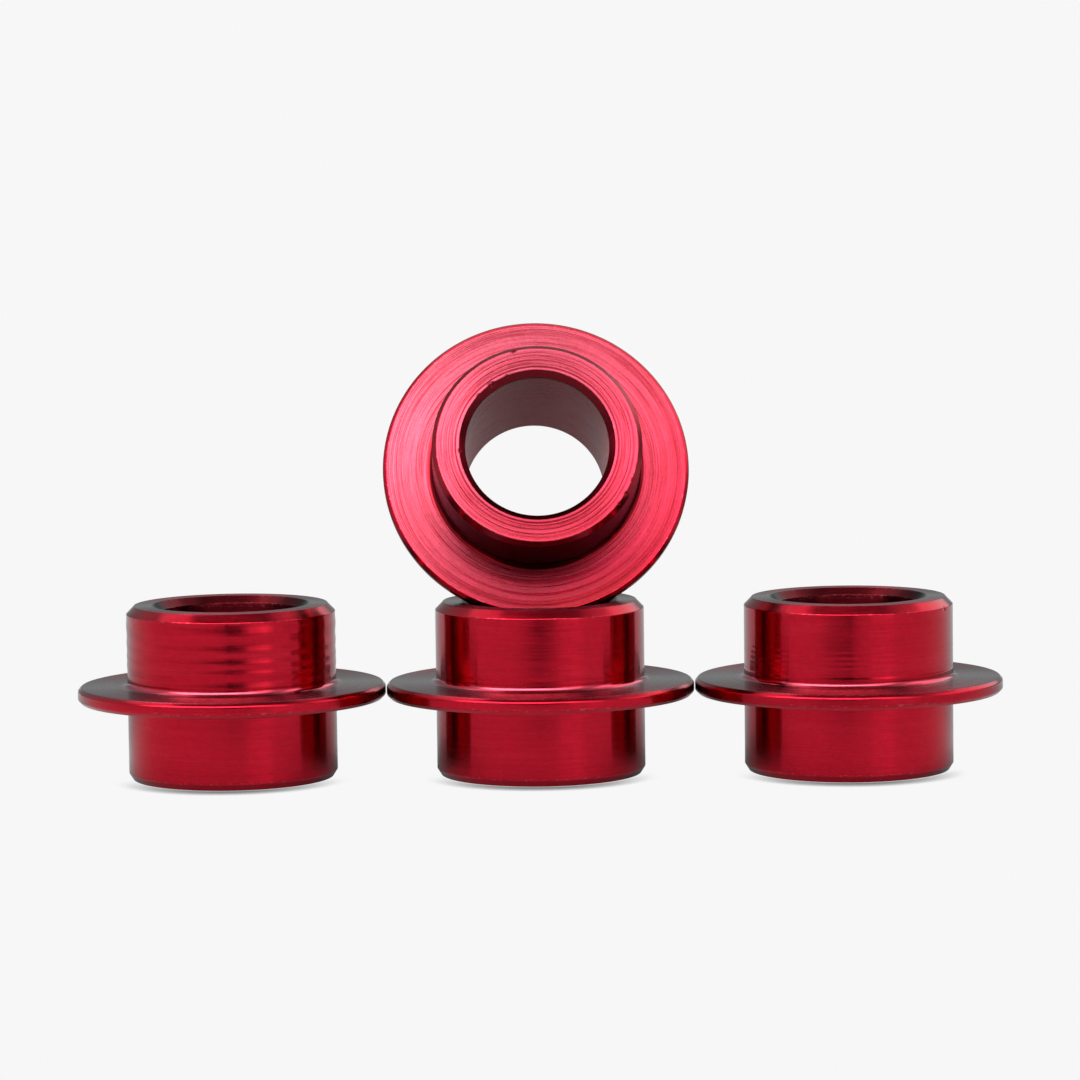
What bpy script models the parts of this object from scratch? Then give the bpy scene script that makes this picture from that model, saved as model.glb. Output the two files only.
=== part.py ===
"""Set of four turned, flanged hub spacers.

Three spacers stand on end in a row along X with their flange rims side by
side, large-chamfer end up. The fourth lies on the middle one: the rim of its
flange dips into the middle spacer's bore, the edge of its rear boss sits on
the rear of the middle spacer's top face, and its small-chamfer end faces the
front (-Y).

Units are metres, +Z is up. The origin is the bottom centre of the bounding
box of the whole set. Every spacer is one solid of revolution: a boss on each
side of a thin flange, and one straight bore with a chamfer at each mouth.
"""
import math

import bmesh
import bpy
from mathutils import Euler, Vector

MM = 0.001

# ---- one spacer, standing with its small-chamfer end at z = 0 ---------------
LENGTH = 10.0 * MM            # end face to end face
BOSS_RADIUS = 6.0 * MM
BORE_RADIUS = 4.10 * MM       # takes an 8 mm axle with clearance
FLANGE_RADIUS = 8.85 * MM
FLANGE_THICKNESS = 0.88 * MM
FLANGE_BOTTOM = 4.50 * MM     # height of the flange's lower face
FLANGE_TOP = FLANGE_BOTTOM + FLANGE_THICKNESS

# Chamfers: WIDTH is radial, HEIGHT is along the axis.
LARGE_CHAMFER_WIDTH = 0.45 * MM    # outside edge of the upper boss
LARGE_CHAMFER_HEIGHT = 0.46 * MM
SMALL_CHAMFER_WIDTH = 0.24 * MM    # outside edge of the lower boss
SMALL_CHAMFER_HEIGHT = 0.38 * MM
MOUTH_CHAMFER_WIDTH = 0.36 * MM    # both mouths of the bore
MOUTH_CHAMFER_HEIGHT = 0.40 * MM
RIM_CHAMFER = 0.20 * MM            # both edges of the flange rim, equal legs

FILLET_RADIUS = 0.30 * MM     # between each boss and the flange
FILLET_STEPS = 3              # straight steps in each fillet
SEGMENTS = 64                 # steps round the axis
MERGE_DISTANCE = 1e-8         # joins coincident points after the spin
SHARP_ANGLE = math.radians(28.0)   # edges steeper than this shade sharp

# ---- arrangement of the set -------------------------------------------------
RIM_GAP = 0.05 * MM           # between neighbouring flange rims
PITCH = 2.0 * FLANGE_RADIUS + RIM_GAP
TOP_TILT = math.radians(21.3)     # slope of the top spacer's bore axis
TOP_YAW = math.radians(1.2)       # its turn about Z
TOP_FACE_Y = -2.13 * MM       # its front face centre, from the middle axis
TOP_FACE_Z = 19.11 * MM       # the same point, above the base
# The bore axis runs from the front face backward and down.
TOP_ROTATION = Euler((-(0.5 * math.pi + TOP_TILT), 0.0, TOP_YAW), 'XYZ')

# ---- finish -----------------------------------------------------------------
ANODISED_RED = (0.50, 0.012, 0.030, 1.0)
ANODISED_ROUGHNESS = 0.28


def clear_scene():
    for obj in list(bpy.data.objects):
        bpy.data.objects.remove(obj, do_unlink=True)


def root_fillet(face_z, side):
    """Fillet between boss and flange face, as (radius, z) going up.

    side is -1 below the flange and +1 above it.
    """
    points = []
    for step in range(FILLET_STEPS + 1):
        angle = 0.5 * math.pi * step / FILLET_STEPS
        radius = BOSS_RADIUS + FILLET_RADIUS * (1.0 - math.cos(angle))
        z = face_z + side * FILLET_RADIUS * (1.0 - math.sin(angle))
        points.append((radius, z))
    return points if side < 0 else points[::-1]


def spacer_profile():
    """Closed half-section as (radius, z), up the outside from the bore."""
    return [
        # lower end
        (BORE_RADIUS, MOUTH_CHAMFER_HEIGHT),
        (BORE_RADIUS + MOUTH_CHAMFER_WIDTH, 0.0),
        (BOSS_RADIUS - SMALL_CHAMFER_WIDTH, 0.0),
        (BOSS_RADIUS, SMALL_CHAMFER_HEIGHT),
        # flange, with a fillet on each side
        *root_fillet(FLANGE_BOTTOM, -1),
        (FLANGE_RADIUS - RIM_CHAMFER, FLANGE_BOTTOM),
        (FLANGE_RADIUS, FLANGE_BOTTOM + RIM_CHAMFER),
        (FLANGE_RADIUS, FLANGE_TOP - RIM_CHAMFER),
        (FLANGE_RADIUS - RIM_CHAMFER, FLANGE_TOP),
        *root_fillet(FLANGE_TOP, +1),
        # upper end
        (BOSS_RADIUS, LENGTH - LARGE_CHAMFER_HEIGHT),
        (BOSS_RADIUS - LARGE_CHAMFER_WIDTH, LENGTH),
        (BORE_RADIUS + MOUTH_CHAMFER_WIDTH, LENGTH),
        (BORE_RADIUS, LENGTH - MOUTH_CHAMFER_HEIGHT),
    ]


def turned_mesh(name, profile):
    """Spin the closed half-section once round Z."""
    bm = bmesh.new()
    verts = [bm.verts.new((radius, 0.0, z)) for radius, z in profile]
    edges = [bm.edges.new((verts[i - 1], verts[i]))
             for i in [*range(1, len(verts)), 0]]
    bmesh.ops.spin(bm, geom=verts + edges, cent=(0.0, 0.0, 0.0),
                   axis=(0.0, 0.0, 1.0), angle=2.0 * math.pi,
                   steps=SEGMENTS, use_merge=True, use_duplicate=False)
    bmesh.ops.remove_doubles(bm, verts=bm.verts, dist=MERGE_DISTANCE)
    bmesh.ops.recalc_face_normals(bm, faces=bm.faces)
    mesh = bpy.data.meshes.new(name)
    bm.to_mesh(mesh)
    bm.free()
    mesh.shade_smooth()
    mesh.set_sharp_from_angle(angle=SHARP_ANGLE)
    return mesh


def anodised_material(name):
    material = bpy.data.materials.new(name)
    material.use_nodes = True
    inputs = material.node_tree.nodes["Principled BSDF"].inputs
    inputs["Base Color"].default_value = ANODISED_RED
    inputs["Metallic"].default_value = 1.0
    inputs["Roughness"].default_value = ANODISED_ROUGHNESS
    return material


def add_spacer(name, location, rotation=(0.0, 0.0, 0.0)):
    mesh = turned_mesh(name, spacer_profile())
    mesh.materials.append(anodised_material(name + "_anodised"))
    obj = bpy.data.objects.new(name, mesh)
    bpy.context.scene.collection.objects.link(obj)
    obj.location = location
    obj.rotation_euler = rotation


def top_rear_reach():
    """How far the top spacer reaches behind the middle axis."""
    turn = TOP_ROTATION.to_matrix()
    angles = [2.0 * math.pi * k / SEGMENTS for k in range(SEGMENTS)]
    return TOP_FACE_Y + max(
        (turn @ Vector((radius * math.cos(angle), radius * math.sin(angle), z))).y
        for radius, z in spacer_profile() for angle in angles)


def build():
    clear_scene()
    # Centre the set in Y between the row's front rims and whichever reaches
    # further back, the row or the top spacer.
    rear_reach = max(FLANGE_RADIUS, top_rear_reach())
    row_y = 0.5 * (FLANGE_RADIUS - rear_reach)
    for side, x in (("center", 0.0), ("left", -PITCH), ("right", PITCH)):
        add_spacer("spacer_" + side, (x, row_y, 0.0))
    add_spacer("spacer_top", (0.0, row_y + TOP_FACE_Y, TOP_FACE_Z), TOP_ROTATION)


build()
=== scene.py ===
"""Looks for a set of four turned, red-anodised, flanged hub spacers.

Three spacers stand upright on the floor in a row along X. The fourth leans
on the middle one, its small-chamfer end turned to the camera, which looks
along +Y. Each is one finely turned mesh with edge breaks, grooves, ripples
and dings, under a dyed finish whose lathe grooves run round the axis.
"""
import math

import bpy
import numpy as np
from mathutils import Euler, Matrix, Vector


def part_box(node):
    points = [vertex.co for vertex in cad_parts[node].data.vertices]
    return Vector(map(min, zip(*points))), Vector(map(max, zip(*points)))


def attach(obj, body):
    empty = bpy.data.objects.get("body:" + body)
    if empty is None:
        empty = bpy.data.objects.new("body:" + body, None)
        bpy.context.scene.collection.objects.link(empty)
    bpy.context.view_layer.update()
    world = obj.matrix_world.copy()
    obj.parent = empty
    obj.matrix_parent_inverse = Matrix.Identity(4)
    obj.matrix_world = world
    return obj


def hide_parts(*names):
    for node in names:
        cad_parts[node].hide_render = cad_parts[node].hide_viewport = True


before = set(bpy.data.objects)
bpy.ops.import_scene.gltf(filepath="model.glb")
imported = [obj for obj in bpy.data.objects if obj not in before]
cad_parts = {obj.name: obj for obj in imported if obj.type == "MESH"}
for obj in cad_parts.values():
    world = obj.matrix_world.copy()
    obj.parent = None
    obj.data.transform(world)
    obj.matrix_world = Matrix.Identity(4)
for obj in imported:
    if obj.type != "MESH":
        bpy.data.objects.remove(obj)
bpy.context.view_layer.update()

MM = 0.001         # metres in a millimetre
MICRON = 1e-3      # millimetres in a micrometre
FULL_TURN = 2 * math.pi

# ---- driving dimensions of one spacer, in mm --------------------------------
LENGTH = 10.0
BOSS_R = 6.0
FLANGE_R = 8.85
FLANGE_T = 0.88
LOWER_BOSS = 4.50
BORE_R = 4.10
LEAD_R, LEAD_Z = 0.45, 0.46        # chamfer round the boss at z = LENGTH
EDGE_R, EDGE_Z = 0.24, 0.38        # chamfer round the boss at z = 0
MOUTH_R, MOUTH_Z = 0.36, 0.40      # chamfers at both ends of the bore
RIM_C = 0.20
ROOT_R = 0.30
FLANGE_TOP = LOWER_BOSS + FLANGE_T

SEGMENTS = 256                     # even columns round the axis
MIN_COLUMN_GAP = 0.0025            # radians
SHARP_BELOW = 0.2                  # corner radius of an edge break
HAIR = 1e-4                        # margin when comparing radii

# Placement of the leaning spacer.
TOP_TILT = math.radians(21.3)
TOP_YAW = math.radians(1.2)
TOP_FACE = (0.0, -2.13, 19.11)     # from the foot of the middle axis

# Corners of the half-section, up the outside and down the bore: radius,
# height, corner radius, steps in the corner, name of the surface after it.
CORNERS = [
    (BORE_R, MOUTH_Z, 0.035, 3, "mouth_lo"),
    (BORE_R + MOUTH_R, 0.0, 0.030, 3, "face_lo"),
    (BOSS_R - EDGE_R, 0.0, 0.030, 3, "edge_lo"),
    (BOSS_R, EDGE_Z, 0.060, 3, "wall_lo"),
    (BOSS_R, LOWER_BOSS, ROOT_R, 7, "flange_lo"),
    (FLANGE_R - RIM_C, LOWER_BOSS, 0.050, 3, "rim_lo"),
    (FLANGE_R, LOWER_BOSS + RIM_C, 0.120, 5, "rim"),
    (FLANGE_R, FLANGE_TOP - RIM_C, 0.200, 6, "rim_hi"),
    (FLANGE_R - RIM_C, FLANGE_TOP, 0.120, 5, "flange_hi"),
    (BOSS_R, FLANGE_TOP, ROOT_R, 7, "wall_hi"),
    (BOSS_R, LENGTH - LEAD_Z, 0.080, 5, "lead"),
    (BOSS_R - LEAD_R, LENGTH, 0.035, 3, "face_hi"),
    (BORE_R + MOUTH_R, LENGTH, 0.030, 3, "mouth_hi"),
    (BORE_R, LENGTH - MOUTH_Z, 0.035, 3, "bore"),
]

# Sample spacing along each surface, in mm; a spacer may override some.
SPACING = {
    "mouth_lo": 0.07, "face_lo": 0.14, "edge_lo": 0.07, "wall_lo": 0.12,
    "flange_lo": 0.16, "rim_lo": 0.06, "rim": 0.07, "rim_hi": 0.06,
    "flange_hi": 0.09, "wall_hi": 0.055, "lead": 0.07, "face_hi": 0.07,
    "mouth_hi": 0.07, "bore": 0.28,
}

# Random cut on each surface, in octaves: (pitch in mm, height in
# micrometres). The order sets the order of the random draws.
CUT = {
    "face_lo": [(0.10, 5.0), (0.22, 7.0)],
    "face_hi": [(0.15, 0.9), (0.30, 1.2)],
    "flange_lo": [(0.11, 4.0), (0.26, 6.0), (0.60, 6.0)],
    "flange_hi": [(0.20, 1.2), (0.45, 1.8)],
    "wall_lo": [(0.24, 0.35), (0.70, 1.0)],
    "wall_hi": [(0.20, 0.40), (0.62, 1.0)],
    "lead": [(0.15, 1.0)],
    "edge_lo": [(0.15, 0.8)],
    "rim": [(0.14, 1.2)],
    "rim_lo": [(0.14, 1.0)],
    "rim_hi": [(0.14, 1.0)],
    "mouth_lo": [(0.15, 0.8)],
    "mouth_hi": [(0.15, 0.8)],
    "bore": [(0.50, 1.6)],
}

# Roughness by surface.
ROUGH = {
    "face_lo": 0.29, "face_hi": 0.26, "flange_lo": 0.29, "flange_hi": 0.25,
    "wall_lo": 0.138, "wall_hi": 0.128, "lead": 0.15, "edge_lo": 0.17,
    "rim": 0.16, "rim_lo": 0.17, "rim_hi": 0.15, "mouth_lo": 0.20,
    "mouth_hi": 0.20, "bore": 0.25,
}

# Strength of the lathe grain by surface; the rest have PLAIN_GRAIN.
GRAIN = {"face_lo": 1.0, "flange_lo": 1.0, "face_hi": 0.4, "flange_hi": 0.4}
PLAIN_GRAIN = 0.06

# Painted shade by surface: how far the colour is darkened in the bore, its mouths and the
# bottom edge; a spacer may override some.
PAINTED_SHADE = {"bore": 1.33, "mouth_lo": 1.2, "mouth_hi": 1.3, "edge_lo": 0.6}


# ---- turned section ---------------------------------------------------------
def unit(vector):
    return vector / np.linalg.norm(vector)


def rounded_corner(previous, corner, following, radius, steps):
    """Points on the arc that rounds the corner between its neighbours."""
    before = unit(previous - corner)
    after = unit(following - corner)
    half = 0.5 * math.acos(float(np.clip(before @ after, -1, 1)))
    run = radius / math.tan(half)
    centre = corner + unit(before + after) * radius / math.sin(half)
    start = math.atan2(*(corner + before * run - centre)[::-1])
    end = math.atan2(*(corner + after * run - centre)[::-1])
    turn = (end - start + math.pi) % FULL_TURN - math.pi
    return [centre + radius * np.array([math.cos(start + turn * k / steps),
                                        math.sin(start + turn * k / steps)])
            for k in range(steps + 1)]


def section(spacing):
    """Sampled half-section: points (radius, height), surface name of each,
    distance from the surface's first corner, and 1 on an edge break."""
    corners = [np.array(entry[:2], float) for entry in CORNERS]
    count = len(corners)
    arcs = [rounded_corner(corners[i - 1], corners[i], corners[(i + 1) % count],
                           *CORNERS[i][2:4]) for i in range(count)]
    rows = []
    for i, (_, _, radius, _, name) in enumerate(CORNERS):
        sharp = float(radius < SHARP_BELOW)
        start, end = arcs[i][-1], arcs[(i + 1) % count][0]
        steps = max(2, int(round(float(np.linalg.norm(end - start)) / spacing[name])))
        line = [start + (end - start) * k / steps for k in range(1, steps)]
        for samples, mark in ((arcs[i], sharp), (line, 0.0)):
            for point in samples:
                rows.append((point, name, np.linalg.norm(point - corners[i]), mark))
    return tuple(np.array(column) for column in zip(*rows))


def outward(points):
    """Unit normal of the closed loop at each point, pointing off the metal."""
    ahead = np.roll(points, -1, axis=0) - points
    behind = points - np.roll(points, 1, axis=0)
    ahead /= np.linalg.norm(ahead, axis=1)[:, None]
    behind /= np.linalg.norm(behind, axis=1)[:, None]
    tangent = ahead + behind
    tangent /= np.linalg.norm(tangent, axis=1)[:, None]
    return np.stack([tangent[:, 1], -tangent[:, 0]], axis=1)


# ---- relief of the cut ------------------------------------------------------
def smoothstep(t):
    return t * t * (3 - 2 * t)


def value_noise(distance, pitch, rng):
    """Smooth 1-D noise between -1 and 1 with the given pitch."""
    knots = rng.uniform(-1.0, 1.0, int(np.max(distance) / pitch) + 4)
    cell = np.floor(distance / pitch).astype(int)
    blend = smoothstep(distance / pitch - cell)
    return knots[cell] * (1 - blend) + knots[cell + 1] * blend


def ring_noise(angles, rng, waves=5):
    """Smooth periodic noise round the axis between about -1 and 1."""
    total = np.zeros_like(angles)
    for k in range(1, waves + 1):
        total += rng.uniform(0.3, 1.0) * np.cos(k * angles + rng.uniform(0, FULL_TURN)) / k
    return total / 1.6


def turning_wave(z, turns, slope):
    """Ripple in mm that swings between the heights in turns, from a valley
    to a ridge and back, with the given steepest slope."""
    out = np.zeros_like(z)
    level, sign = 0.0, 1.0
    for start, end in zip(turns[:-1], turns[1:]):
        rise = sign * 2.0 * (end - start) * slope / math.pi
        t = (z - start) / (end - start)
        inside = (z >= start) & (z < end)
        out[inside] = level + rise * 0.5 * (1 - np.cos(math.pi * t[inside]))
        level += rise
        sign = -sign
    out[z >= turns[-1]] = level
    return out


def cut_relief(profile, rng, grooves, ripples, waves, steps):
    """Height of the cut over the plain section at each point, in mm."""
    points, names, along, sharp = profile
    cut = np.zeros(len(points))
    for surface, octaves in CUT.items():
        on = names == surface
        for pitch, height in octaves:
            cut[on] += height * MICRON * value_noise(along[on], pitch, rng)
    for surface, at, width, depth in grooves:
        on = names == surface
        cut[on] -= depth * MICRON * np.exp(-((along[on] - at) / width) ** 2)
    fade_run = 0.35
    for surface, start, end, pitch, height, phase in ripples:
        on = names == surface
        z = points[on, 1]
        edge = smoothstep(np.clip((z - start) / fade_run, 0, 1)
                          * np.clip((end - z) / fade_run, 0, 1))
        cut[on] += height * MICRON * edge * np.sin(FULL_TURN * (z - start) / pitch + phase)
    for surface, turns, slope in waves:
        on = names == surface
        cut[on] += turning_wave(points[on, 1], turns, slope)
    for surface, level, half, rise in steps:
        on = names == surface
        t = np.clip((level + half - points[on, 1]) / (2 * half), 0, 1)
        cut[on] += rise * smoothstep(t) * (points[on, 0] < BOSS_R + HAIR)
    return cut * (1.0 - sharp)         # the edge breaks stay clean of the cut


def column_angles(dings):
    """Angles of the columns round the axis, closer together at each ding."""
    angles = list(np.linspace(0.0, FULL_TURN, SEGMENTS, endpoint=False))
    for degrees, radius, _, reach, _ in dings:
        middle = math.radians(degrees) % FULL_TURN
        angles += [(middle + k * 0.45 * reach / radius) % FULL_TURN for k in range(-4, 5)]
    angles = np.unique(np.round(np.array(angles), 5))
    angles = angles[np.concatenate([[True], np.diff(angles) > MIN_COLUMN_GAP])]
    if FULL_TURN - angles[-1] < MIN_COLUMN_GAP:
        angles = angles[:-1]
    return angles


# ---- one spacer -------------------------------------------------------------
def closed_mesh(name, x, y, z):
    """Smooth mesh over a grid of points in mm that closes both ways."""
    rows, columns = x.shape
    coordinates = np.stack([x, y, z], axis=-1) * MM
    i = np.arange(rows)[:, None]
    j = np.arange(columns)[None, :]
    next_i, next_j = (i + 1) % rows, (j + 1) % columns
    quads = np.stack([i * columns + j, i * columns + next_j,
                      next_i * columns + next_j, next_i * columns + j],
                     axis=-1).reshape(-1, 4)
    mesh = bpy.data.meshes.new(name)
    mesh.vertices.add(rows * columns)
    mesh.vertices.foreach_set("co", coordinates.astype(np.float32).ravel())
    mesh.loops.add(quads.size)
    mesh.loops.foreach_set("vertex_index", quads.astype(np.int32).ravel())
    mesh.polygons.add(len(quads))
    mesh.polygons.foreach_set("loop_start", np.arange(0, quads.size, 4, dtype=np.int32))
    mesh.update(calc_edges=True)
    mesh.validate()
    mesh.shade_smooth()
    return mesh


def finish_layers(profile, angles, shade, under):
    """Point values read by the material, by attribute name, painted shade and a painted
    highlight tint among them.
    """
    points, names, _, sharp = profile
    root = (points[:, 0] > BOSS_R + HAIR) & (points[:, 0] < BOSS_R + ROOT_R - HAIR)
    root_lo = root & (names == "flange_lo")
    # root_hi marks the fillet tinted for a painted highlight.
    root_hi = root & (names == "wall_hi")
    rough = np.array([ROUGH[name] for name in names])
    rough[root_lo] = ROUGH["wall_lo"]
    faced = np.array([float(name.startswith(("face", "flange"))) for name in names])
    faced[root_lo] = 0.0
    grain = np.array([GRAIN.get(name, PLAIN_GRAIN) for name in names])
    grain[root] = PLAIN_GRAIN
    # Painted shade: how far each point's colour is darkened towards near-black red.
    shade_levels = {**PAINTED_SHADE, **shade}
    shade_amount = np.array([shade_levels.get(name, 0.0) for name in names])
    shade_amount[root_lo] = shade_levels.get("wall_lo", 0.0)
    shade_amount = np.repeat(shade_amount[:, None], len(angles), axis=1)
    # Painted shade on the local +Y side, which faces down on the leaning spacer.
    side = (np.clip(1.6 * np.sin(angles) - 0.25, 0.0, 1.0)
            * np.where(np.cos(angles) < 0.0, 1.0, 0.45))
    for surface, amount in under.items():
        shade_amount[names == surface] += amount * side[None, :]
    return {"wear": sharp[:, None], "rough": rough[:, None], "faced": faced[:, None],
            "shade_amount": shade_amount, "grain": grain[:, None],
            "highlight_tint": root_hi.astype(float)[:, None]}


def turned_piece(name, material, seed, spacing, grooves, ripples, waves, steps,
                 dings, shade, under):
    """One closed turned mesh, axis on local Z, small-chamfer end at z = 0."""
    rng = np.random.default_rng(seed)
    profile = section({**SPACING, **spacing})
    points, _, _, sharp = profile
    normal = outward(points)
    angles = column_angles(dings)
    cut = cut_relief(profile, rng, grooves, ripples, waves, steps)

    # The cut fades in and out round the axis; the edge breaks are uneven.
    swing = 1.0 + 0.22 * ring_noise(angles, rng)
    broken = (ring_noise(angles, rng, waves=48) * 0.0012
              + rng.uniform(-1.0, 1.0, len(angles)) * 0.0007)
    height = cut[:, None] * swing[None, :] + sharp[:, None] * broken[None, :]
    radius = points[:, 0, None] + normal[:, 0, None] * height
    z = points[:, 1, None] + normal[:, 1, None] * height

    cosine, sine = np.cos(angles)[None, :], np.sin(angles)[None, :]
    for degrees, ding_radius, level, reach, depth in dings:
        angle = math.radians(degrees)
        distance_squared = ((radius * cosine - ding_radius * math.cos(angle)) ** 2
                            + (radius * sine - ding_radius * math.sin(angle)) ** 2
                            + (z - level) ** 2)
        push = depth * np.exp(-distance_squared / (reach * reach))
        radius = radius - normal[:, 0, None] * push
        z = z - normal[:, 1, None] * push

    mesh = closed_mesh(name, radius * cosine, radius * sine, z)
    for label, values in finish_layers(profile, angles, shade, under).items():
        layer = mesh.attributes.new(label, "FLOAT", "POINT")
        values = np.broadcast_to(values, radius.shape)
        layer.data.foreach_set("value", values.astype(np.float32).ravel())
    piece = bpy.data.objects.new(name, mesh)
    bpy.context.scene.collection.objects.link(piece)
    mesh.materials.append(material)
    return piece


# ---- shader graph helper ----------------------------------------------------
class Graph:
    """Adds nodes to one tree. A value is a number, a tuple or a socket."""

    def __init__(self, tree):
        self.tree = tree

    def feed(self, socket, value):
        if isinstance(value, bpy.types.NodeSocket):
            self.tree.links.new(value, socket)
        else:
            socket.default_value = value

    def node(self, kind, inputs=None, **settings):
        node = self.tree.nodes.new("ShaderNode" + kind)
        for key, value in settings.items():
            setattr(node, key, value)
        for key, value in (inputs or {}).items():
            self.feed(node.inputs[key], value)
        return node

    def calc(self, operation, *values):
        inputs = dict(enumerate(values))
        return self.node("Math", inputs, operation=operation).outputs[0]

    def add(self, first, second):
        return self.calc("ADD", first, second)

    def times(self, first, second):
        return self.calc("MULTIPLY", first, second)

    def weighted_sum(self, *terms):
        """Sum of (socket, weight) pairs."""
        total = self.times(*terms[0])
        for term in terms[1:]:
            total = self.add(total, self.times(*term))
        return total

    def attribute(self, label):
        return self.node("Attribute", attribute_name=label).outputs["Fac"]

    def vector(self, *values):
        return self.node("CombineXYZ", dict(enumerate(values))).outputs[0]

    def coordinates(self, space):
        """The coordinate socket, then its x, y and z."""
        place = self.node("TexCoord").outputs[space]
        return place, *self.node("SeparateXYZ", {0: place}).outputs

    def noise(self, place, scale, detail, roughness, dimensions="3D"):
        key = "W" if dimensions == "1D" else "Vector"
        inputs = {"Scale": scale, "Detail": detail, "Roughness": roughness, key: place}
        return self.node("TexNoise", inputs, noise_dimensions=dimensions).outputs["Fac"]

    def remap(self, value, source, target=(0.0, 1.0), interpolation="LINEAR"):
        """Clamped map from the source range to the target range."""
        inputs = {"Value": value, "From Min": source[0], "From Max": source[1],
                  "To Min": target[0], "To Max": target[1]}
        node = self.node("MapRange", inputs, clamp=True, interpolation_type=interpolation)
        return node.outputs["Result"]

    def mix(self, factor, first, second, blend="MIX"):
        inputs = {0: factor, 6: first, 7: second}
        return self.node("Mix", inputs, data_type="RGBA", blend_type=blend).outputs[2]

    def output(self, kind, lit, seen):
        """Output that shows seen to the camera and lit to everything else."""
        camera_ray = self.node("LightPath").outputs["Is Camera Ray"]
        mixed = self.node("MixShader", {0: camera_ray, 1: lit.outputs[0],
                                        2: seen.outputs[0]})
        self.node(kind, {"Surface": mixed.outputs[0]})


# ---- dyed anodised aluminium ------------------------------------------------
RED = (0.53, 0.0062, 0.0245, 1.0)          # dye on the polished walls
RED_DEEP = (0.44, 0.0034, 0.0165, 1.0)
RED_THIN = (0.66, 0.030, 0.060, 1.0)
FACE = (0.39, 0.0330, 0.0600, 1.0)         # dye on the faced surfaces
FACE_DEEP = (0.17, 0.0020, 0.0080, 1.0)
FILLET_HIGHLIGHT_TINT = (0.62, 0.0600, 0.1000, 1.0)       # lighter tint so the fillet above the flange shows a pink-white painted highlight
SHADE_DARK = (0.045, 0.003, 0.005, 1.0)         # near-black red painted in as shade
BARE = (0.78, 0.26, 0.31, 1.0)
BLACK = (0.0, 0.0, 0.0, 1.0)
TINT = (0.76, 1.0, 1.0, 1.0)               # specular tint, open and under painted shade
TINT_SHADED = (0.42, 0.62, 0.62, 1.0)

HEIGHT_ACROSS = 1.37       # share of height in the distance across the grooves
SEED_SHIFT = (0.37, 0.0137)    # factors that shift the grooves by the seed
DYE_WEIGHTS = {"medium": 0.18, "fine": 0.28, "rings": 0.26, "hair": 0.28}
BUMP_HEIGHTS = {"rings": 13.0e-6, "hair": 2.6e-6, "fine": 1.6e-6}      # metres
SPECK_HEIGHT = 0.08e-6
SHADE_SHARE = 0.66         # how far the painted shade replaces the colour
WORN_SHARE = 0.22          # how far bare metal shows on a worn edge
REFLECTION_SHADE_SHARE = 0.27        # painted shade on colour seen in a reflection

# Painted light and shade on the faces, by colour channel: middle, swing towards the
# lit side, painted shade on the flange's and painted light on the end face's local +Y side.
PAINTED_LIGHT = [(0.92, 0.13, 0.10, 0.22), (1.00, 0.80, 0.40, 0.06), (1.00, 0.55, 0.28, 0.06)]
PAINTED_LIGHT_REACH = 0.008       # metres over which the swing runs its full amount
PAINTED_LIGHT_FLOOR = 0.05


def painted_light_gradient(graph, face, x, y, radius, direction):
    """Face colour with painted light: lighter towards the given direction, with painted shade
    on the flange's local +Y side and painted light on the end face's.
    """
    lean = graph.weighted_sum((x, math.cos(direction) / PAINTED_LIGHT_REACH),
                              (y, math.sin(direction) / PAINTED_LIGHT_REACH))
    flange = graph.remap(radius, source=(0.0060, 0.0063))
    flange_side = graph.times(flange, graph.remap(y, source=(0.0042, 0.0082)))
    end_side = graph.times(graph.calc("SUBTRACT", 1.0, flange),
                           graph.remap(y, source=(0.0030, 0.0055)))
    channels = []
    for middle, swing, flange_shade, end_face_light in PAINTED_LIGHT:
        value = graph.add(graph.times(lean, swing), middle)
        value = graph.calc("SUBTRACT", value, graph.times(flange_side, flange_shade))
        value = graph.add(value, graph.times(end_side, end_face_light))
        channels.append(graph.calc("MAXIMUM", value, PAINTED_LIGHT_FLOOR))
    return graph.mix(1.0, face, graph.vector(*channels), blend="MULTIPLY")


def groove_noises(graph, x, y, z, radius, seed):
    """Noises that follow the lathe grooves, by name."""
    across = graph.weighted_sum((radius, 1.0), (z, HEIGHT_ACROSS))
    across = graph.add(across, seed * SEED_SHIFT[0] * SEED_SHIFT[1])
    round_x = graph.calc("DIVIDE", x, radius)
    round_y = graph.calc("DIVIDE", y, radius)

    def streaks(density, variation, detail, roughness):
        """Density across the grooves, variation along them."""
        place = graph.vector(graph.times(across, density),
                             graph.times(round_x, variation),
                             graph.times(round_y, variation))
        return graph.noise(place, scale=1.0, detail=detail, roughness=roughness)

    def rings(density, detail):
        """Closed rings round the axis."""
        return graph.noise(graph.times(across, density), scale=1.0, detail=detail,
                           roughness=0.55, dimensions="1D")

    return {
        "fine": streaks(density=9500.0, variation=2.4, detail=2.0, roughness=0.6),
        "medium": streaks(density=4500.0, variation=1.1, detail=3.0, roughness=0.6),
        "rings": rings(density=5200.0, detail=2.0),
        "hair": rings(density=9800.0, detail=1.5),
        "broad": streaks(density=1100.0, variation=0.9, detail=2.0, roughness=0.5),
    }


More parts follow.
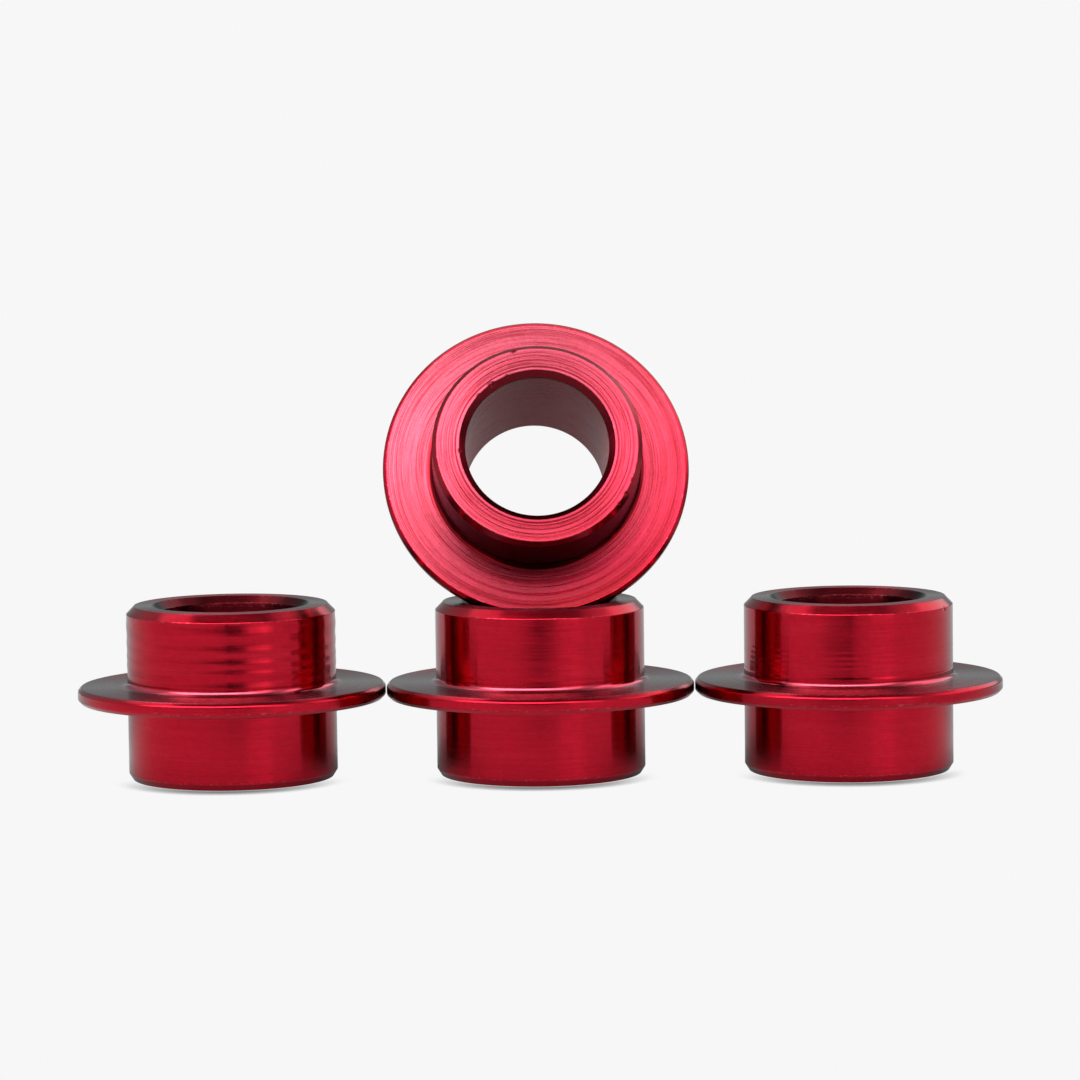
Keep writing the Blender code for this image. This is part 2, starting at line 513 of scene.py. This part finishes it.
def dye_with_painted_light(graph, grooves, shade_amount, x, y, radius, painted_light_from):
    """Colour of the dye: deeper in some grooves, thinner in others, with painted light, shade
    and a painted highlight tint laid over it.
    """
    dye = graph.weighted_sum(*((grooves[key], weight) for key, weight in DYE_WEIGHTS.items()))
    dye = graph.remap(dye, source=(0.41, 0.55))
    faced = graph.attribute("faced")
    wall = graph.mix(graph.remap(dye, source=(0.0, 1.0), target=(0.35, 0.85)),
                     RED_DEEP, RED)
    wall = graph.mix(graph.remap(grooves["broad"], source=(0.55, 0.80), target=(0.0, 0.18)),
                     wall, RED_THIN)
    # Painted highlight: the fillet above the flange is tinted lighter so its highlight reads
    # pink-white.
    wall = graph.mix(graph.attribute("highlight_tint"), wall, FILLET_HIGHLIGHT_TINT)
    face = graph.mix(dye, FACE_DEEP, FACE)
    # Painted light and shade across the faces.
    if painted_light_from is not None:
        face = painted_light_gradient(graph, face, x, y, radius, math.radians(painted_light_from))
    colour = graph.mix(faced, wall, face)
    # Painted shade: the colour is pulled towards near-black red by this attribute.
    return graph.mix(graph.times(shade_amount, SHADE_SHARE), colour, SHADE_DARK)


def worn_and_reflection_shaded(graph, colour, place, cloud, speck):
    """The colour mottled, worn on the edges, and with painted shade where it is seen in a
    reflection.
    """
    mottle = graph.noise(place, scale=3200.0, detail=2.0, roughness=0.6)
    blotch = graph.times(graph.remap(cloud, source=(0.35, 0.70), target=(0.95, 1.03)),
                         graph.remap(mottle, source=(0.3, 0.7), target=(0.94, 1.06)))
    grit = graph.times(graph.attribute("grain"),
                       graph.remap(speck, source=(0.3, 0.7), target=(-0.16, 0.16)))
    blotch = graph.times(blotch, graph.add(grit, 1.0))
    shaded = graph.node("VectorMath", {0: colour, "Scale": blotch}, operation="SCALE")
    wear = graph.attribute("wear")
    chip = graph.noise(place, scale=5200.0, detail=3.0, roughness=0.65)
    chip = graph.remap(chip, source=(0.54, 0.68))
    worn = graph.times(wear, graph.times(chip, WORN_SHARE))
    colour = graph.mix(worn, shaded.outputs[0], BARE)
    # Painted shade: the colour is darker where it is seen in a reflection off another
    # surface.
    seen_in_reflection = graph.calc("MINIMUM", graph.node("LightPath").outputs["Glossy Depth"], 1.0)
    return graph.mix(graph.times(seen_in_reflection, REFLECTION_SHADE_SHARE), colour, BLACK)


def anodised(name, seed, painted_light_from):
    material = bpy.data.materials.new(name)
    material.use_nodes = True
    graph = Graph(material.node_tree)
    bsdf = material.node_tree.nodes["Principled BSDF"]
    # Plain values that stay under the linked colour and roughness.
    bsdf.inputs["Base Color"].default_value = RED
    bsdf.inputs["Roughness"].default_value = 0.2

    place, x, y, z = graph.coordinates("Object")
    x_squared = graph.times(x, x)
    y_squared = graph.times(y, y)
    radius = graph.calc("SQRT", graph.add(x_squared, y_squared))
    grooves = groove_noises(graph, x, y, z, radius, seed)
    cloud = graph.noise(place, scale=420.0, detail=3.0, roughness=0.55)
    speck = graph.noise(place, scale=9000.0, detail=2.0, roughness=0.6)
    shade_amount = graph.attribute("shade_amount")
    colour = dye_with_painted_light(graph, grooves, shade_amount, x, y, radius, painted_light_from)
    colour = worn_and_reflection_shaded(graph, colour, place, cloud, speck)

    rough = graph.add(graph.attribute("rough"),
                      graph.remap(grooves["fine"], source=(0.3, 0.7), target=(-0.035, 0.035)))
    rough = graph.add(rough, graph.remap(cloud, source=(0.3, 0.7), target=(-0.02, 0.025)))
    tangent = graph.node("Tangent", direction_type="RADIAL", axis="Z")
    lift = graph.weighted_sum(*((grooves[key], rise) for key, rise in BUMP_HEIGHTS.items()))
    lift = graph.times(lift, graph.attribute("grain"))
    lift = graph.add(lift, graph.times(speck, SPECK_HEIGHT))
    bump = graph.node("Bump", {"Strength": 1.0, "Distance": 1.0, "Height": lift})
    settings = {
        "Base Color": colour,
        "Metallic": 1.0,
        # Painted shade also dims the specular tint.
        "Specular Tint": graph.mix(shade_amount, TINT, TINT_SHADED),
        "Roughness": rough,
        "Anisotropic": 1.0,
        "Anisotropic Rotation": 0.25,
        "Tangent": tangent.outputs[0],
        # Clear sealed oxide over the dye.
        "Coat Weight": 0.16,
        "Coat Roughness": 0.22,
        "Coat IOR": 1.45,
        "Normal": bump.outputs[0],
    }
    for key, value in settings.items():
        graph.feed(bsdf.inputs[key], value)
    return material


# ---- the four spacers -------------------------------------------------------
def build_spacer(body, seed, place, spacing={}, grooves=(), ripples=(), waves=(),
                 steps=(), dings=(), shade={}, under={}, painted_light_from=None):
    """One spacer in the place of its CAD node.

    spacing: changes to SPACING
    grooves: (surface, distance along it, width, depth in micrometres)
    ripples: (surface, from z, to z, pitch, height in micrometres, phase)
    waves:   (surface, turning heights from a valley up, steepest slope)
    steps:   (surface, z, half width, radial step below it)
    dings:   (angle in degrees, radius, height, reach, depth)
    shade:   changes to PAINTED_SHADE, the painted shade by surface
    under:   painted shade on the local +Y side, less where X is positive
    fade:    direction in degrees towards which painted light makes the faces lighter
    Lengths are in mm unless noted.
    """
    node = f"spacer_{body}"
    material = anodised(f"{node}_anodised_red", seed, painted_light_from)
    piece = turned_piece(f"turned_{node}", material, seed, spacing, grooves, ripples,
                         waves, steps, dings, shade, under)
    piece.matrix_world = place
    bpy.context.view_layer.update()
    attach(piece, body)
    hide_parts(node)


def middle_x(node):
    start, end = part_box(node)
    return 0.5 * (start.x + end.x)


low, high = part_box("spacer_center")
row_y = 0.5 * (low.y + high.y)
top_at = Vector((TOP_FACE[0] * MM, row_y + TOP_FACE[1] * MM, TOP_FACE[2] * MM))
top_turn = Euler((-(0.5 * math.pi + TOP_TILT), 0.0, TOP_YAW), "XYZ").to_matrix().to_4x4()

SPACERS = [
    dict(body="left", seed=11,
         place=Matrix.Translation((middle_x("spacer_left"), row_y, low.z)),
         waves=[("wall_hi", (5.74, 5.80, 6.16, 6.62, 6.90, 7.15, 7.50, 7.88,
                             8.28, 8.85, 9.40), 0.075)],
         ripples=[("wall_hi", 5.9, 9.3, 0.19, 0.8, 1.4)],
         grooves=[("wall_hi", 3.30, 0.04, 2.0), ("wall_hi", 2.62, 0.04, 1.6)],
         dings=[(-88.0, 5.94, 9.50, 0.09, 0.030), (-80.0, 5.95, 9.53, 0.07, 0.022)]),
    dict(body="center", seed=23,
         place=Matrix.Translation((0.0, row_y, low.z)),
         spacing={"wall_hi": 0.07, "wall_lo": 0.10},
         waves=[("wall_hi", (5.74, 5.82, 5.98, 6.20), 0.035)],
         ripples=[("wall_lo", 0.5, 4.0, 0.85, 0.5, 0.0)],
         grooves=[("wall_hi", 2.1, 0.04, 1.2)]),
    dict(body="right", seed=37,
         place=Matrix.Translation((middle_x("spacer_right"), row_y, low.z)),
         ripples=[("wall_hi", 6.15, 7.7, 0.31, 2.6, 0.0)],
         steps=[("wall_hi", 5.93, 0.045, 0.018)],
         dings=[(-28.0, 5.97, 9.52, 0.12, 0.045), (-8.0, 5.97, 8.25, 0.16, 0.020)],
         # Painted shade on the rim.
         shade={"rim": 0.30}),
    dict(body="top", seed=53,
         place=Matrix.Translation(top_at) @ top_turn,
         spacing={"face_lo": 0.024, "flange_lo": 0.032, "wall_lo": 0.10,
                  "wall_hi": 0.16, "flange_hi": 0.14, "face_hi": 0.12,
                  "bore": 0.24, "mouth_lo": 0.05},
         grooves=[("face_lo", 0.17, 0.028, 12.0), ("face_lo", 0.36, 0.026, 11.0),
                  ("face_lo", 0.56, 0.030, 20.0), ("face_lo", 0.87, 0.030, 20.0),
                  ("face_lo", 1.10, 0.026, 11.0),
                  ("flange_lo", 0.55, 0.035, 9.0), ("flange_lo", 1.15, 0.035, 9.0),
                  ("flange_lo", 1.62, 0.035, 12.0), ("flange_lo", 2.05, 0.035, 13.0),
                  ("flange_lo", 2.28, 0.030, 14.0)],
         dings=[(-102.0, 5.80, 0.05, 0.14, 0.130), (-125.0, 4.42, 0.03, 0.15, 0.110),
                (-112.0, 4.44, 0.03, 0.09, 0.050), (-138.0, 4.44, 0.03, 0.09, 0.050),
                (22.0, 5.76, 0.04, 0.08, 0.035), (31.0, 5.76, 0.04, 0.08, 0.040),
                (38.0, 5.77, 0.05, 0.07, 0.035), (176.0, 4.44, 0.03, 0.09, 0.050)],
         # Painted shade on the lower wall, bore, upper mouth and rim.
         shade={"wall_lo": 1.0, "bore": 0.80, "mouth_hi": 1.2, "rim": 1.0},
         # Painted shade on the lower side of the rim and bottom edge.
         under={"rim_lo": 1.0, "edge_lo": 0.5},
         # Painted light: the faces grow lighter towards this direction.
         painted_light_from=-130.0),
]

for spacer in SPACERS:
    build_spacer(**spacer)


# ---- floor ------------------------------------------------------------------
PAPER = 0.930                      # brightness of the paper to the camera
PAPER_GREY = (0.54, 0.54, 0.54, 1.0)
# Painted shade the metal sees on the paper towards the camera.
FRONT_SHADE_GREY = (0.05, 0.05, 0.05, 1.0)
SHADOW_GREY = (0.40, 0.40, 0.40, 1.0)
FLOOR_SIZE, FLOOR_CELLS = 4.0, 8
FLOOR_DROP = 0.00001               # metres below the foot of the spacers
SIDE_LEAN, UP_LEAN = 0.94, 0.34    # direction of the two sideways looks
SHADOW_POWER = 1.9


def floor_grey(graph):
    """Grey of the paper as the metal sees it."""
    _, x, y, _ = graph.coordinates("Object")
    # Painted shade: towards the camera the paper, as the metal sees it, turns dark grey.
    ahead = graph.remap(y, source=(-0.078, -0.046), target=(1.0, 0.0))
    across = graph.remap(graph.calc("ABSOLUTE", x), source=(0.014, 0.036),
                         target=(1.0, 0.0))
    paper = graph.mix(graph.times(ahead, across), PAPER_GREY, FRONT_SHADE_GREY)
    # Behind the set it lies in shadow.
    back = graph.times(graph.remap(y, source=(0.007, 0.016)),
                       graph.remap(y, source=(0.050, 0.130), target=(1.0, 0.35)))
    back = graph.times(back, graph.remap(graph.calc("ABSOLUTE", x), source=(0.045, 0.090),
                                         target=(1.0, 0.0)))
    return graph.mix(back, paper, SHADOW_GREY)


def floor_glow(graph):
    """Brightness of the paper to the camera. The contact shadow lies in front
    of each piece: what hides the back less what hides the front."""
    openness = []
    for lean in (SIDE_LEAN, -SIDE_LEAN):
        look = graph.vector(0.0, lean, UP_LEAN)
        node = graph.node("AmbientOcclusion", {"Distance": 0.0018, "Normal": look},
                          samples=16)
        openness.append(node.outputs["AO"])
    to_back, to_front = openness
    hidden = graph.remap(graph.calc("SUBTRACT", to_front, to_back),
                         source=(0.17, 0.72), target=(0.0, 0.72))
    wide = graph.node("AmbientOcclusion", {"Distance": 0.004}, samples=8)
    contact = graph.calc("POWER", graph.calc("SUBTRACT", 1.0, hidden), SHADOW_POWER)
    around = graph.remap(wide.outputs["AO"], source=(0.2, 0.7), target=(0.985, 1.0))
    return graph.times(graph.times(contact, around), PAPER)


def floor():
    ticks = [FLOOR_SIZE * (i / FLOOR_CELLS - 0.5) for i in range(FLOOR_CELLS + 1)]
    row = len(ticks)
    corners = [i * row + j for i in range(FLOOR_CELLS) for j in range(FLOOR_CELLS)]
    mesh = bpy.data.meshes.new("floor")
    mesh.from_pydata([(x, y, 0.0) for x in ticks for y in ticks], [],
                     [(k, k + row, k + row + 1, k + 1) for k in corners])
    sheet = bpy.data.objects.new("floor", mesh)
    sheet.location = (0.0, 0.0, low.z - FLOOR_DROP)
    bpy.context.scene.collection.objects.link(sheet)
    material = bpy.data.materials.new("pale_floor")
    material.use_nodes = True
    material.node_tree.nodes.clear()
    graph = Graph(material.node_tree)
    lit = graph.node("BsdfDiffuse", {"Color": floor_grey(graph)})
    seen = graph.node("Emission", {"Strength": floor_glow(graph)})
    graph.output("OutputMaterial", lit, seen)
    mesh.materials.append(material)
    return sheet


floor()


# ---- light: white paper to the camera, a soft studio to the metal -----------
# Azimuth is in degrees: 0 is the front (-Y), +90 is +X. Elevation is in
# degrees above the horizon. Edges are: from, full from, full to, to.
# Surround brightness: azimuth, level.
SURROUND = [(-180, 0.44), (-150, 0.36), (-128, 0.58), (-100, 0.85), (-66, 0.74),
            (-40, 0.62), (-22, 0.38), (0, 0.08), (14, 0.60), (28, 1.55),
            (41, 2.50), (54, 1.00), (72, 0.62), (95, 0.52), (118, 0.42),
            (150, 0.42), (180, 0.44)]
RAMP_SCALE = 2             # keeps the ramp colours near or below 1
ZENITH = 0.20
ZENITH_BLEND = (35.0, 75.0)        # elevations over which the surround fades
# The bright panel high behind the set.
BACK_PANEL = 1.3
BACK_PANEL_AZIMUTH = (130.0, 158.0)        # fades in, on both sides
BACK_PANEL_ELEVATION = (36.0, 46.0, 62.0, 72.0)
# Azimuth edges, elevation edges, radiance.
SOFTBOXES = [((-78, -60, 22, 42), (17, 27, 50, 58), 4.4),
             ((-28, -18, 4, 16), (28, 33, 42, 47), 6.0),
             ((-88, -66, -34, -16), (20, 30, 54, 64), 2.6),
             ((64, 78, 142, 166), (10, 16, 42, 52), 1.6),
             ((-158, -142, -84, -70), (42, 49, 62, 70), 1.1),
             ((84, 98, 142, 158), (46, 52, 62, 70), 0.5)]
# The dark camera side: azimuth edges, elevation edges, share of light left.
FLAG = ((-30, -12, 12, 26), (-14, -4, 8, 16), 0.05)


def band(graph, value, edges):
    """1 between the full edges, falling smoothly to 0 at the outer ones."""
    start, full_start, full_end, end = edges
    return graph.times(
        graph.remap(value, source=(start, full_start), interpolation="SMOOTHSTEP"),
        graph.remap(value, source=(end, full_end), interpolation="SMOOTHSTEP"))


def surround(graph, azimuth):
    ramp = graph.node("ValToRGB")
    ramp.color_ramp.interpolation = "EASE"
    elements = ramp.color_ramp.elements
    elements.remove(elements[-1])
    for i, (angle, level) in enumerate(SURROUND):
        element = elements.new((angle + 180.0) / 360.0) if i else elements[0]
        element.color = (level / RAMP_SCALE,) * 3 + (1.0,)
    turn = graph.add(graph.calc("DIVIDE", azimuth, 360.0), 0.5)
    graph.feed(ramp.inputs["Fac"], turn)
    return graph.times(ramp.outputs["Color"], float(RAMP_SCALE))


def studio():
    world = bpy.data.worlds.new("studio")
    bpy.context.scene.world = world
    world.use_nodes = True
    world.node_tree.nodes.clear()
    graph = Graph(world.node_tree)
    _, x, y, z = graph.coordinates("Generated")
    degrees = 180.0 / math.pi
    azimuth = graph.times(graph.calc("ARCTAN2", x, graph.times(y, -1.0)), degrees)
    elevation = graph.times(graph.calc("ARCSINE", z), degrees)

    side = surround(graph, azimuth)
    overhead = graph.remap(elevation, source=ZENITH_BLEND, interpolation="SMOOTHSTEP")
    sky = graph.node("Mix", {0: overhead, 2: side, 3: ZENITH}, data_type="FLOAT")
    far = graph.remap(graph.calc("ABSOLUTE", azimuth), source=BACK_PANEL_AZIMUTH)
    panel = graph.times(far, band(graph, elevation, BACK_PANEL_ELEVATION))
    total = graph.add(sky.outputs[0], graph.times(panel, BACK_PANEL))

    def window(azimuth_edges, elevation_edges):
        return graph.times(band(graph, azimuth, azimuth_edges),
                           band(graph, elevation, elevation_edges))

    for *edges, radiance in SOFTBOXES:
        total = graph.add(total, graph.times(window(*edges), radiance))
    *edges, left = FLAG
    stopped = graph.times(window(*edges), 1.0 - left)
    total = graph.times(total, graph.calc("SUBTRACT", 1.0, stopped))

    lit = graph.node("Background", {"Strength": total})
    paper = graph.node("Background", {"Color": (1.0, 1.0, 1.0, 1.0), "Strength": PAPER})
    graph.output("OutputWorld", lit, paper)
    world.cycles.sampling_method = "MANUAL"
    world.cycles.sample_map_resolution = 512


studio()


# ---- camera -----------------------------------------------------------------
CAMERA_AT = (-0.000361, -0.256363, 0.037733)
HEADING, PITCH, ROLL = 0.0017383, 0.0945351, 0.0131373     # radians


def camera():
    data = bpy.data.cameras.new("camera")
    data.sensor_width = 36.0
    data.lens = 149.4
    data.clip_start = 0.01
    data.clip_end = 20.0
    viewer = bpy.data.objects.new("camera", data)
    bpy.context.scene.collection.objects.link(viewer)
    viewer.matrix_world = (Matrix.Translation(CAMERA_AT)
                           @ Matrix.Rotation(-HEADING, 4, "Z")
                           @ Matrix.Rotation(0.5 * math.pi - PITCH, 4, "X")
                           @ Matrix.Rotation(-ROLL, 4, "Z"))
    bpy.context.scene.camera = viewer


camera()

scene = bpy.context.scene
scene.view_settings.view_transform = "Standard"
scene.view_settings.look = "None"
scene.cycles.use_denoising = True
scene.cycles.caustics_reflective = False
scene.cycles.sample_clamp_indirect = 6.0

bpy.context.view_layer.update()
